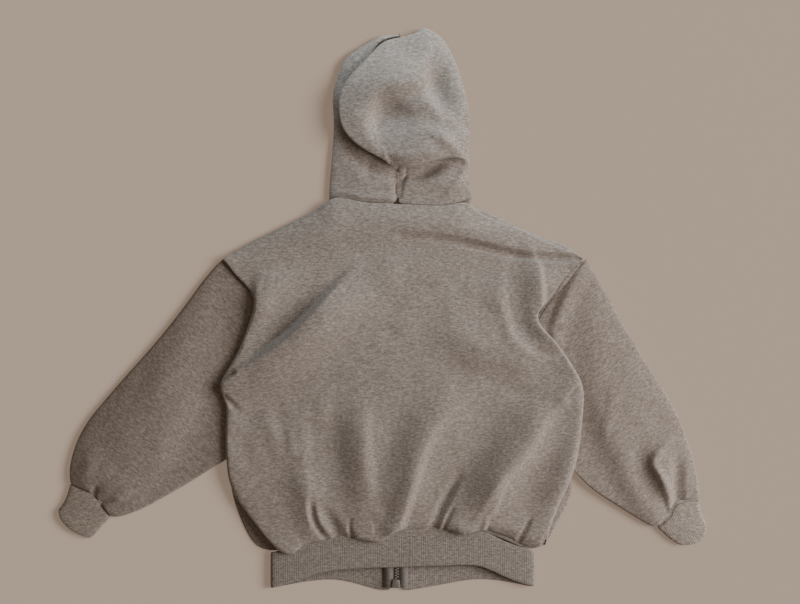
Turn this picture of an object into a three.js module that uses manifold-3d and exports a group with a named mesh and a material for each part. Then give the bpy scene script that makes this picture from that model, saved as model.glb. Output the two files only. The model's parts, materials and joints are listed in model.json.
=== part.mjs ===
// Toddler's zipped hoodie in heathered sweatshirt fleece, laid flat with its back up and its hood towards +Y.
// Millimetres, +Z up, and the floor is z = 0. The origin is under the middle of the outline.
// Each cut piece is a wall of cloth of its own, and the pieces keep a small gap where a seam joins them.
import * as THREE from 'three';
import Module from 'manifold-3d';
import { mergeVertices } from 'three/addons/utils/BufferGeometryUtils.js';

const wasm = await Module();
wasm.setup();

const { clamp, lerp, smoothstep } = THREE.MathUtils;

// Driving dimensions
const WALL = 2; // one layer of brushed fleece, or of the rib at the cuffs and hem
const SEAM = 0.3; // gap between two pieces at a seam
const CURVED_SEAM = 0.5; // half the gap along the curved armhole and front neck seams
const BODY_TOP = 12; // upper face of the back panel where it lies smooth
const ROLL = 5; // outer radius of a rolled or turned edge
const EDGE_REACH = 24; // how far in from an edge its own height is felt
const SLEEVE_EDGE = 8.2; // height of a sleeve along its two sides
const SLEEVE_TOP = 13.5; // height of a sleeve along its middle
const CUFF_TOP = 8; // height of a cuff
const BAND_TOP = 9.4; // upper face of the hem band at the back
const BAND_WIDTH = 40; // height of the hem band

// The zip runs straight up the middle of the front
const ZIP_X = 16;
const ZIP_LOW = -307;
const ZIP_HIGH = 66;
const ZIP_LIFT = 2.2; // how far the front edges rise to carry the zip clear of the floor
const ZIP_REACH = 26; // how far from the zip that rise begins
const FRONT_EDGE = 5; // from the middle of the zip to the edge of a front panel

// Colours: warm grey fleece, the same yarn knitted as rib, and dark metal
const FLEECE = '#877d75';
const RIB = '#7d756e';
const TAPE = '#6f665e';
const METAL = '#4b4641';

// Curves and patches
function curve(points) {
    const places = points.map((p) => new THREE.Vector3(...p, 0));
    const line = new THREE.CatmullRomCurve3(places, false, 'centripetal');
    return (t) => line.getPointAt(clamp(t, 0, 1));
}

function shifted(line, distance) {
    return (t) => {
        const before = line(t - 0.01);
        const along = line(t + 0.01).sub(before).normalize();
        return line(t).add(new THREE.Vector3(-along.y, along.x, 0).multiplyScalar(distance));
    };
}

// The flat shape between four edges: top and bottom run along u, the first and last edges run along v
function patch(top, bottom, first, last) {
    const corner = [top(0), top(1), bottom(0), bottom(1)];
    return (u, v) => {
        const sides = top(u).lerp(bottom(u), v).add(first(v).lerp(last(v), u));
        const upper = corner[0].clone().lerp(corner[1], u);
        return sides.sub(upper.lerp(corner[2].clone().lerp(corner[3], u), v));
    };
}

// A value read from a short table of places and values
function read(table, key, at) {
    const next = table.findIndex((row) => row.at >= at);
    if (next === 0) return table[0][key];
    if (next < 0) return table[table.length - 1][key];
    const [a, b] = [table[next - 1], table[next]];
    return lerp(a[key], b[key], (at - a.at) / (b.at - a.at));
}

// Folds of the cloth: each is a soft ridge, or a trough where its height is negative, along a path.
// The slope is as wide as left on the left of the path, and as right on its right.
const FOLD_STOPS = 12;
const FOLD_FADE = 0.3; // the part of a fold's length over which it dies away at each end
function relief(folds) {
    const paths = folds.map((fold) => {
        const line = curve(fold.path);
        return Array.from({ length: FOLD_STOPS + 1 }, (_, i) => line(i / FOLD_STOPS));
    });
    return (x, y) => {
        let height = 0;
        folds.forEach((fold, index) => {
            let best = { distance: Infinity, side: 1, along: 0 };
            for (let i = 0; i < FOLD_STOPS; i++) {
                const [a, b] = [paths[index][i], paths[index][i + 1]];
                const [dx, dy] = [b.x - a.x, b.y - a.y];
                const s = clamp(((x - a.x) * dx + (y - a.y) * dy) / (dx * dx + dy * dy), 0, 1);
                const distance = Math.hypot(x - a.x - s * dx, y - a.y - s * dy);
                if (distance < best.distance) {
                    const side = dx * (y - a.y) - dy * (x - a.x);
                    best = { distance, side, along: (i + s) / FOLD_STOPS };
                }
            }
            const width = best.side > 0 ? fold.left : fold.right;
            const fadeIn = smoothstep(best.along, 0, FOLD_FADE);
            const fade = fadeIn * (1 - smoothstep(best.along, 1 - FOLD_FADE, 1));
            height += fold.height * fade * Math.exp(-((best.distance / width) ** 2));
        });
        return height;
    };
}

// Walls of cloth. A grid of points on the outer face gets an inner face one wall behind it, and a rim.
function wall(grid, { thickness = WALL, ring = false } = {}) {
    const [columns, rows] = [grid.length, grid[0].length];
    const column = (i) => (ring ? (i + columns) % columns : clamp(i, 0, columns - 1));
    const at = (i, j) => grid[column(i)][clamp(j, 0, rows - 1)];
    const places = [];
    const push = (p) => places.push(p.x, p.y, p.z);
    const inner = [];
    for (let i = 0; i < columns; i++) {
        for (let j = 0; j < rows; j++) {
            const across = at(i + 1, j).clone().sub(at(i - 1, j));
            const along = at(i, j + 1).clone().sub(at(i, j - 1));
            const normal = across.cross(along).normalize();
            push(at(i, j));
            inner.push(at(i, j).clone().addScaledVector(normal, -thickness));
        }
    }
    inner.forEach(push);
    const half = columns * rows;
    const faces = [];
    const quad = (a, b, c, d) => faces.push(a, b, c, a, c, d);
    const id = (i, j) => (i % columns) * rows + j;
    const spans = ring ? columns : columns - 1;
    for (let i = 0; i < spans; i++) {
        for (let j = 0; j < rows - 1; j++) {
            const q = [id(i, j), id(i + 1, j), id(i + 1, j + 1), id(i, j + 1)];
            quad(...q);
            quad(q[3] + half, q[2] + half, q[1] + half, q[0] + half);
        }
        quad(id(i, 0), id(i, 0) + half, id(i + 1, 0) + half, id(i + 1, 0));
        quad(id(i + 1, rows - 1), id(i + 1, rows - 1) + half, id(i, rows - 1) + half, id(i, rows - 1));
    }
    if (!ring) {
        for (let j = 0; j < rows - 1; j++) {
            quad(id(0, j + 1), id(0, j + 1) + half, id(0, j) + half, id(0, j));
            const last = id(columns - 1, j);
            quad(last, last + half, last + 1 + half, last + 1);
        }
    }
    const geometry = new THREE.BufferGeometry();
    geometry.setAttribute('position', new THREE.Float32BufferAttribute(places, 3));
    geometry.setIndex(faces);
    geometry.computeVertexNormals();
    return geometry;
}

function grid(columns, rows, place) {
    return columns.map((u) => rows.map((v) => place(u, v)));
}

function steps(count, low = 0, high = 1) {
    return Array.from({ length: count + 1 }, (_, i) => lerp(low, high, i / count));
}

const group = new THREE.Group();
function add(name, geometry, colour, { metalness = 0, roughness = 0.95 } = {}) {
    const material = new THREE.MeshStandardMaterial({ color: colour, metalness, roughness });
    const mesh = new THREE.Mesh(geometry, material);
    mesh.name = name;
    group.add(mesh);
    return mesh;
}

// Seam lines and outlines that two pieces share
const ARMHOLE_LEFT = curve([
    [-176, 53.5], [-159, 35], [-138.5, 16.5], [-128, -11], [-126, -46], [-130.5, -84.5], [-142.5, -128.5],
    [-160, -158.5],
]);
const ARMHOLE_RIGHT = curve([
    [225.5, 55], [202.5, 35], [192, 17.5], [181, 5], [166.5, -22], [163.5, -62.5], [168, -106.5],
    [183, -145], [208.5, -176],
]);
const FRONT_NECK_LEFT = curve([[-61, 119], [-50, 98], [-32.5, 83.5], [-11.5, 74], [10.5, 70]]);
const FRONT_NECK_RIGHT = curve([[103, 121], [92, 98.5], [74, 84], [51, 75], [21, 70]]);
const BAND_LOWER_FRONT = curve([
    [-118.5, -308], [-91.5, -302.5], [-65.5, -299], [-45.5, -299], [-28, -303], [-10.5, -308],
    [1.5, -311], [23.5, -311.5], [40, -309],
    [69, -304], [100.5, -298.5], [124, -299], [141.5, -302], [163.5, -306.5],
]);
const BAND_LOWER_BACK = curve([
    [-118.5, -307], [-104, -302.5], [-88.5, -298], [-74, -291.5], [-45.5, -287], [-17, -285],
    [11.5, -284.5], [54.5, -283], [113, -283],
    [126, -289.5], [140, -297], [163.5, -305],
]);

// Back panel: one piece from the neck seam to the hem band, blousing over the band
const BACK_TOP = curve([
    [-175.5, 53], [-149, 69.5], [-130.5, 79], [-107.5, 90], [-92, 98], [-72, 108], [-61, 117.5],
    [-51, 125], [-39, 122.5],
    [-25, 119], [3, 117], [43.5, 115.5], [64.5, 114.5], [81, 116], [94, 120], [102, 109], [109.5, 103.5],
    [130.5, 95.5],
    [152.5, 87], [180, 75], [203, 65], [224, 53],
]);
const BACK_LEFT = curve([
    [-175.5, 53], [-160, 33], [-141.5, 14.5], [-139, 4.5], [-144.5, -15.5], [-152.5, -37.5], [-161, -56],
    [-171, -71.5], [-178, -83.5], [-176, -93.5],
    [-170, -103.5], [-170.5, -123], [-171, -150.5], [-169.5, -169.5], [-168, -187], [-160, -208],
    [-144.5, -229], [-128, -249.5], [-115, -263],
]);
const BACK_RIGHT = curve([
    [224, 53], [204, 34], [193, 17.5], [182, 4.5], [170.5, -7.5], [174.5, -20], [186.5, -32],
    [197.5, -45], [208.5, -61.5], [219.5, -80.5],
    [222, -92.5], [221.5, -106.5], [219, -134], [215.5, -161.5], [209.5, -183.5], [201, -203.5],
    [188.5, -232], [180, -259.5],
]);
const BACK_HEM = curve([
    [-115, -263], [-109.5, -268.5], [-102, -270.5], [-94, -268.5], [-87.5, -260.5], [-75.5, -257.5],
    [-65.5, -255], [-48, -253.5], [-32.5, -252], [-17, -255],
    [0.5, -256.5], [10.5, -249.5], [18, -244], [47, -244], [76.5, -243.5], [84, -246.5], [94, -248.5],
    [104, -245.5], [111.5, -243], [127, -247.5],
    [148, -256.5], [164.5, -265], [180, -259.5],
]);
// How high the back panel lies along each edge, and how low its rolled edge reaches. at is the part of the
// edge passed.
const OVER_SLEEVE = 9.5;
const OVER_FRONT = 2.4;
const OVER_BAND = BAND_TOP + SEAM;
const PINCHED = OVER_BAND + 1.4; // where the gathered edge is drawn down to the band
const LEFT_EDGE = [
    { at: 0, top: 12, end: 11.5 }, { at: 0.14, top: 13, end: 11.5 }, { at: 0.2, top: 16, end: OVER_SLEEVE },
    { at: 0.42, top: 17, end: OVER_SLEEVE }, { at: 0.71, top: 15, end: OVER_SLEEVE },
    { at: 0.78, top: 12, end: OVER_FRONT }, { at: 1, top: 11, end: OVER_FRONT },
];
const RIGHT_EDGE = [
    { at: 0, top: 12, end: 11.5 }, { at: 0.21, top: 13, end: 11.5 },
    { at: 0.28, top: 16, end: OVER_SLEEVE + 0.9 },
    { at: 0.48, top: 17.5, end: OVER_SLEEVE + 0.9 }, { at: 0.78, top: 15, end: OVER_SLEEVE },
    { at: 0.85, top: 12, end: OVER_FRONT }, { at: 1, top: 11, end: OVER_FRONT },
];
const TOP_EDGE = [
    { at: 0, top: 11, end: 8 }, { at: 0.1, top: 8.5, end: OVER_FRONT + 1 },
    { at: 0.27, top: 9, end: OVER_FRONT + 2 },
    { at: 0.32, top: 12, end: 11.5 }, { at: 0.64, top: 12, end: 11.5 },
    { at: 0.7, top: 9, end: OVER_FRONT + 2 },
    { at: 0.9, top: 8.5, end: OVER_FRONT + 1 }, { at: 1, top: 11, end: 8 },
];
const HEM_EDGE = [
    { at: 0, top: 13.5, end: PINCHED }, { at: 0.05, top: 17, end: OVER_BAND },
    { at: 0.12, top: 13.5, end: PINCHED },
    { at: 0.26, top: 13.5, end: PINCHED }, { at: 0.35, top: 17.5, end: OVER_BAND },
    { at: 0.43, top: 13.5, end: PINCHED }, { at: 0.62, top: 13.5, end: PINCHED },
    { at: 0.67, top: 16, end: OVER_BAND }, { at: 0.75, top: 13.5, end: PINCHED },
    { at: 0.88, top: 15, end: OVER_BAND }, { at: 1, top: 13.5, end: PINCHED },
];

// The largest folds of the back panel, uneven as the cloth lies
const BACK_FOLDS = [
    { height: 3.4, left: 14, right: 24, path: [[-169, 50.5], [-131.5, 65], [-56.5, 94.5], [20.5, 105.5],
        [108.5, 90], [213, 57]] },
    { height: -2.2, left: 12, right: 26, path: [[-166.5, 39.5], [-100.5, 59.5], [-12.5, 79], [53.5, 75],
        [130.5, 61.5], [209.5, 50.5]] },
    { height: 4.1, left: 18, right: 20, path: [[-120.5, 50.5], [-119.5, 20], [-125, -24]] },
    { height: -2.4, left: 20, right: 26, path: [[-169, -64], [-138, -48.5], [-109.5, -31], [-84, -6.5],
        [-45.5, 25.5], [-7, 64]] },
    { height: 6.8, left: 15, right: 30, path: [[-174.5, -88], [-131.5, -59.5], [-89.5, -32], [-45.5, 1],
        [-1.5, 36.5]] },
    { height: 5.4, left: 26, right: 14, path: [[42.5, -24], [81, -33], [121.5, -45], [163.5, -60.5],
        [196.5, -68]] },
    { height: -2.4, left: 14, right: 20, path: [[97.5, -59.5], [130.5, -67], [169, -77], [203, -97]] },
    { height: 5.4, left: 10, right: 22, path: [[192, -55], [163.5, -45], [143.5, -24], [130.5, 4.5],
        [110.5, 35]] },
    { height: -2.4, left: 12, right: 12, path: [[127, 20], [143.5, -11], [158, -31], [180, -45]] },
    { height: 4.7, left: 14, right: 12, path: [[170, 46], [177.5, 25.5], [185.5, 11]] },
    { height: 9.5, left: 12, right: 24, path: [[203, -101], [183, -115.5], [169, -145], [144.5, -170.5],
        [128, -198], [106, -238.5]] },
    { height: -2.4, left: 14, right: 14, path: [[209.5, -121], [192, -156], [170, -198], [135, -237.5]] },
    { height: 6.8, left: 12, right: 22, path: [[106, -88], [71, -116.5], [48, -145], [39, -180.5],
        [20.5, -238.5]] },
    { height: -2.4, left: 14, right: 16, path: [[130.5, -88], [110.5, -143], [88.5, -191.5], [60, -237.5]] },
    { height: 4.1, left: 22, right: 22, path: [[-21.5, -95.5], [-19, -145], [-15, -211], [-10.5, -244]] },
    { height: -2.2, left: 18, right: 18, path: [[-56.5, -95.5], [-55.5, -150.5], [-50, -216.5]] },
    { height: 4.1, left: 9, right: 14, path: [[-81, -178], [-77.5, -211], [-70, -249.5]] },
];
const backFlat = patch(BACK_TOP, BACK_HEM, BACK_LEFT, BACK_RIGHT);
const backFolds = relief(BACK_FOLDS);

function backHeight(u, v, place, width, length) {
    const near = [
        { d: u * width, top: read(LEFT_EDGE, 'top', v) },
        { d: (1 - u) * width, top: read(RIGHT_EDGE, 'top', v) },
        { d: v * length, top: read(TOP_EDGE, 'top', u) },
        { d: (1 - v) * length, top: read(HEM_EDGE, 'top', u) },
    ];
    const felt = ({ d, top }) => (top - BODY_TOP) * Math.exp(-((d / EDGE_REACH) ** 2));
    const edge = near.reduce((sum, side) => sum + felt(side), 0);
    const nearest = Math.min(...near.map(({ d }) => d));
    return BODY_TOP + edge + backFolds(place.x, place.y) * smoothstep(nearest, -12, 30);
}

// How far a station of a rolled edge lies in from the outline, and how far it has dropped from the top
function roll(turn, fraction) {
    const angle = turn * fraction;
    return { inset: ROLL * (1 - Math.sin(angle)), drop: ROLL * (1 - Math.cos(angle)) };
}

function turnOf({ top, end }) {
    return Math.acos(clamp((end - top + ROLL) / ROLL, -0.93, 0.98));
}

// Stations across a panel: the rolled part of each edge, then the open cloth between them
const ROLL_STEPS = 3;
function stations(count) {
    const low = steps(ROLL_STEPS, 1, 0).map((fraction) => ({ edge: 'low', fraction }));
    const high = steps(ROLL_STEPS).map((fraction) => ({ edge: 'high', fraction }));
    const open = steps(count).slice(1, -1).map((fraction) => ({ fraction }));
    return [...low, ...open, ...high];
}

function settle(station, size, lowEdge, highEdge) {
    if (station.edge === 'low') {
        const { inset, drop } = roll(turnOf(lowEdge), station.fraction);
        return { t: inset / size, drop, end: lowEdge.end };
    }
    if (station.edge === 'high') {
        const { inset, drop } = roll(turnOf(highEdge), station.fraction);
        return { t: 1 - inset / size, drop, end: highEdge.end };
    }
    return { t: lerp(ROLL, size - ROLL, station.fraction) / size, drop: 0, end: 0 };
}

function edgeAt(table, at) {
    return { top: read(table, 'top', at), end: read(table, 'end', at) };
}

const backGrid = grid(stations(31), stations(27).reverse(), (across, down) => {
    const roughV = down.edge === 'low' ? 0 : down.edge === 'high' ? 1 : down.fraction;
    const roughU = across.edge === 'low' ? 0 : across.edge === 'high' ? 1 : across.fraction;
    const width = backFlat(0, roughV).distanceTo(backFlat(1, roughV));
    const length = backFlat(roughU, 0).distanceTo(backFlat(roughU, 1));
    const u = settle(across, width, edgeAt(LEFT_EDGE, roughV), edgeAt(RIGHT_EDGE, roughV));
    const v = settle(down, length, edgeAt(TOP_EDGE, roughU), edgeAt(HEM_EDGE, roughU));
    const place = backFlat(u.t, v.t);
    const height = backHeight(u.t, v.t, place, width, length);
    place.z = Math.max(height - Math.max(u.drop, v.drop), u.end, v.end);
    return place;
});
add('back_panel', wall(backGrid), FLEECE);

// Front panels: flat on the floor from the shoulders to the hem band, rising a little to carry the zip
function zipLift(x) {
    const near = clamp(1 - (Math.abs(x - ZIP_X) - FRONT_EDGE) / ZIP_REACH, 0, 1);
    return ZIP_LIFT * smoothstep(near, 0, 1);
}

function bandTop(x, lower) {
    const [first, last] = [lower(0), lower(1)];
    const t = clamp((x - first.x) / (last.x - first.x), 0, 1);
    return lower(t).y + BAND_WIDTH;
}

function front(name, top, bottom, first, last) {
    const flat = patch(top, bottom, first, last);
    const points = grid(steps(10), steps(18), (u, v) => {
        const place = flat(u, v);
        place.z = zipLift(place.x);
        return place;
    });
    add(name, wall(points), FLEECE);
}

const FRONT_LEFT_SIDE = [[-168, -180.5], [-166.5, -194.5], [-163.5, -211], [-154.5, -234.5], [-146, -252],
    [-136, -265]];
const FRONT_LEFT_CORNER = -122.5;
const FRONT_RIGHT_SIDE = [[207.5, -186], [215, -196], [209.5, -205.5], [202, -223.5], [194, -235.5],
    [186.5, -255]];
const FRONT_RIGHT_CORNER = 171;
const SHOULDER_LEFT = curve([[-180.5, 54.5], [-150, 71], [-131.5, 81], [-108.5, 92.5], [-93, 100],
    [-73, 109.5], [-61.5, 119.5]]);
const SHOULDER_RIGHT = curve([[103.5, 121.5], [109.5, 108.5], [130.5, 101], [163.5, 83.5], [187.5, 75.5],
    [207.5, 69], [229.5, 54.5]]);

// Two curves end to end, the first taking a share of the way
function joined(a, b, share) {
    return (t) => (t < share ? a(t / share) : b((t - share) / (1 - share)));
}

function zipEdge(x, high) {
    return (t) => new THREE.Vector3(x, lerp(high, bandTop(x, BAND_LOWER_FRONT) + SEAM, t), 0);
}

function bottomEdge(from, to) {
    return (t) => {
        const x = lerp(from, to, t);
        return new THREE.Vector3(x, bandTop(x, BAND_LOWER_FRONT) + SEAM, 0);
    };
}

function sideOf(points, cornerX) {
    return curve([...points, bottomEdge(cornerX, cornerX)(0).toArray().slice(0, 2)]);
}

const FRONT_NECK_LOW = 70; // how far down the front neck reaches at the zip
const inLeft = shifted(ARMHOLE_LEFT, CURVED_SEAM);
const inRight = shifted(ARMHOLE_RIGHT, -CURVED_SEAM);
const cornerLeft = ZIP_X - FRONT_EDGE;
const cornerRight = ZIP_X + FRONT_EDGE;
front('front_left',
    joined(SHOULDER_LEFT, shifted(FRONT_NECK_LEFT, -CURVED_SEAM), 0.55),
    bottomEdge(FRONT_LEFT_CORNER, cornerLeft),
    joined(inLeft, sideOf(FRONT_LEFT_SIDE, FRONT_LEFT_CORNER), 0.66),
    zipEdge(cornerLeft, FRONT_NECK_LOW - CURVED_SEAM));
front('front_right',
    joined((t) => shifted(FRONT_NECK_RIGHT, CURVED_SEAM)(1 - t), SHOULDER_RIGHT, 0.45),
    bottomEdge(cornerRight, FRONT_RIGHT_CORNER),
    zipEdge(cornerRight, FRONT_NECK_LOW - CURVED_SEAM),
    joined(inRight, sideOf(FRONT_RIGHT_SIDE, FRONT_RIGHT_CORNER), 0.72));

// Sleeves and cuffs: flattened tubes from the armhole to the wrist. The first edge is the outer one.
const SLEEVE_LEFT_OUTER = curve([
    [-179.5, 53], [-198.5, 31], [-214, 9], [-230.5, -13], [-248, -35], [-267, -57], [-286.5, -79],
    [-305, -101], [-323, -123], [-335, -145],
    [-341.5, -167], [-344, -182.5], [-342, -192.5],
]);
const SLEEVE_LEFT_INNER = curve([
    [-160, -159.5], [-170, -168], [-181, -174], [-199.5, -186], [-220.5, -198.5], [-239.5, -209],
    [-258, -219], [-276.5, -226.5], [-290, -230], [-296.5, -229.5],
]);
const CUFF_SEAM_LEFT = curve([[-342, -192.5], [-329.5, -198], [-317.5, -203.5], [-308.5, -213.5],
    [-303, -221], [-296.5, -229.5]]);
const SLEEVE_RIGHT_OUTER = curve([
    [228.5, 54], [241.5, 31], [253.5, 9], [265, -13], [278, -35], [291, -57], [305, -79], [318, -101],
    [329.5, -123], [337, -145],
    [344, -167], [348, -189], [350.5, -208],
]);
const SLEEVE_RIGHT_INNER = curve([
    [208.5, -177], [217.5, -187], [230, -199], [246.5, -210.5], [265, -222], [281.5, -232], [296.5, -240],
    [301.5, -240.5],
]);
const CUFF_SEAM_RIGHT = curve([[350.5, -208], [337, -210], [323, -213.5], [318, -219], [316, -227.5],
    [309.5, -233], [301.5, -240.5]]);
const SLEEVE_FOLDS_LEFT = [
    { height: 3, left: 22, right: 22, path: [[-194, 9], [-227, -46], [-271, -106.5], [-309.5, -161.5]] },
    { height: -2, left: 16, right: 20, path: [[-175.5, 9], [-194, -40.5], [-221.5, -101]] },
    { height: 2.5, left: 14, right: 14, path: [[-331.5, -178], [-318.5, -187], [-305, -198]] },
    { height: -2.5, left: 7, right: 7, path: [[-317.5, -203.5], [-312, -196], [-306.5, -182.5]] },
    { height: -2.5, left: 7, right: 7, path: [[-306.5, -212.5], [-295.5, -211], [-282, -209]] },
];
const SLEEVE_FOLDS_RIGHT = [
    { height: 3.5, left: 12, right: 16, path: [[229.5, 46], [224, 20], [215, -13], [201, -37.5]] },
    { height: 2.5, left: 24, right: 20, path: [[253.5, -7.5], [279, -68], [297.5, -123]] },
    { height: -2.5, left: 9, right: 9, path: [[284.5, -145], [291, -178], [300, -200], [311, -213.5]] },
    { height: 3, left: 9, right: 9, path: [[312, -145], [302, -169.5], [308.5, -191.5], [316, -211]] },
    { height: -2.5, left: 7, right: 7, path: [[325, -150.5], [324, -183.5], [322, -211]] },
];

// A flattened tube: round at both sides, flat on the floor, and as high as height says in between
function tube(name, flat, edgeHeight, height, { around, along, colour, mirrored }) {
    const radius = edgeHeight / 2;
    const turns = steps(4).slice(1, -1);
    const top = steps(around, 0, 1).map((s) => ({ s, z: 'top' }));
    const bottom = steps(Math.round(around / 2), 1, 0).map((s) => ({ s, z: 'floor' }));
    const far = turns.map((f) => ({ edge: 1, angle: Math.PI * f }));
    const near = turns.map((f) => ({ edge: 0, angle: Math.PI * (1 - f) }));
    const loop = [...top, ...far, ...bottom, ...near];
    const points = grid(loop, steps(along), (station, t) => {
        const width = flat(0, t).distanceTo(flat(1, t));
        if (station.edge !== undefined) {
            const inset = radius * (1 - Math.sin(station.angle)) / width;
            const place = flat(station.edge ? 1 - inset : inset, t);
            place.z = radius * (1 + Math.cos(station.angle));
            return place;
        }
        const s = lerp(radius / width, 1 - radius / width, station.s);
        const place = flat(s, t);
        place.z = station.z === 'floor' ? 0 : edgeHeight + height(station.s, t, place);
        return place;
    });
    add(name, wall(mirrored ? points : points.reverse(), { ring: true }), colour);
}

function sleeve(name, armhole, outer, inner, seam, folds, mirrored) {
    const flat = (s, t) => patch(outer, inner, armhole, seam)(t, s);
    const shape = relief(folds);
    tube(name, flat, SLEEVE_EDGE, (s, t, place) => {
        const swell = Math.sin(Math.PI * s) ** 0.7;
        const clear = smoothstep(t, lerp(0.01, 0.62, s), lerp(0.16, 0.9, s)); // past the back panel's edge
        const rise = clear * (1 - smoothstep(t, 0.9, 1));
        return swell * (rise * (SLEEVE_TOP - SLEEVE_EDGE) + clear * shape(place.x, place.y));
    }, { around: 14, along: 18, colour: FLEECE, mirrored });
}

sleeve('sleeve_left', shifted(ARMHOLE_LEFT, -CURVED_SEAM), SLEEVE_LEFT_OUTER, SLEEVE_LEFT_INNER,
    CUFF_SEAM_LEFT, SLEEVE_FOLDS_LEFT, false);
sleeve('sleeve_right', shifted(ARMHOLE_RIGHT, CURVED_SEAM), SLEEVE_RIGHT_OUTER, SLEEVE_RIGHT_INNER,
    CUFF_SEAM_RIGHT, SLEEVE_FOLDS_RIGHT, true);

const CUFF_GAP = 0.6;
const CUFF_GAP_CURVED = 1.9; // the right wrist's seam is sharply curved
const CUFF_LEFT_OUTER = curve([[-342.5, -193.5], [-345, -204.5], [-349.5, -214.5], [-355.5, -221.5]]);
const CUFF_LEFT_INNER = curve([[-297.5, -230.5], [-305, -238.5], [-312, -246.5], [-319.5, -253.5]]);
const CUFF_LEFT_END = curve([[-355.5, -221.5], [-352.5, -231.5], [-340.5, -244], [-319.5, -253.5]]);
const CUFF_RIGHT_OUTER = curve([[350.5, -209.5], [349, -218], [355, -231], [358, -242]]);
const CUFF_RIGHT_INNER = curve([[302, -241.5], [308.5, -246.5], [315, -253], [328.5, -261]]);
const CUFF_RIGHT_END = curve([[358, -242], [354, -252], [345, -258.5], [328.5, -261]]);
const onLeftCuff = patch(CUFF_LEFT_OUTER, CUFF_LEFT_INNER, shifted(CUFF_SEAM_LEFT, -CUFF_GAP), CUFF_LEFT_END);
const onRightCuff = patch(CUFF_RIGHT_OUTER, CUFF_RIGHT_INNER,
    shifted(CUFF_SEAM_RIGHT, CUFF_GAP_CURVED), CUFF_RIGHT_END);
const cuffSwell = (s) => Math.sin(Math.PI * s);
const cuffLook = { around: 10, along: 4, colour: RIB };
tube('cuff_left', (s, t) => onLeftCuff(t, s), CUFF_TOP - 1, cuffSwell, { ...cuffLook, mirrored: false });
tube('cuff_right', (s, t) => onRightCuff(t, s), CUFF_TOP - 1, cuffSwell, { ...cuffLook, mirrored: true });

// Hem band: one strip of rib folded round both sides, with its two free ends at the zip
const BAND_LEFT = -122;
const BAND_RIGHT = 169;
const bandRadius = BAND_TOP / 2;
const bandTurns = steps(5).slice(1, -1);
const bandPath = [
    ...steps(9, cornerLeft, BAND_LEFT + bandRadius).map((x) => ({ x, z: zipLift(x), back: 0 })),
    ...bandTurns.map((f) => ({
        x: BAND_LEFT + bandRadius * (1 - Math.sin(Math.PI * f)),
        z: bandRadius * (1 - Math.cos(Math.PI * f)),
        back: f,
    })),
    ...steps(20, BAND_LEFT + bandRadius, BAND_RIGHT - bandRadius).map((x) => ({ x, z: BAND_TOP, back: 1 })),
    ...bandTurns.map((f) => ({
        x: BAND_RIGHT - bandRadius * (1 - Math.sin(Math.PI * f)),
        z: bandRadius * (1 + Math.cos(Math.PI * f)),
        back: 1 - f,
    })),
    ...steps(9, BAND_RIGHT - bandRadius, cornerRight).map((x) => ({ x, z: zipLift(x), back: 0 })),
];
const bandGrid = grid(bandPath, steps(4), ({ x, z, back }, v) => {
    const top = lerp(bandTop(x, BAND_LOWER_FRONT), bandTop(x, BAND_LOWER_BACK), back);
    return new THREE.Vector3(x, top - BAND_WIDTH * v, z);
});
add('hem_band', wall(bandGrid.reverse()), RIB);

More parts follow.
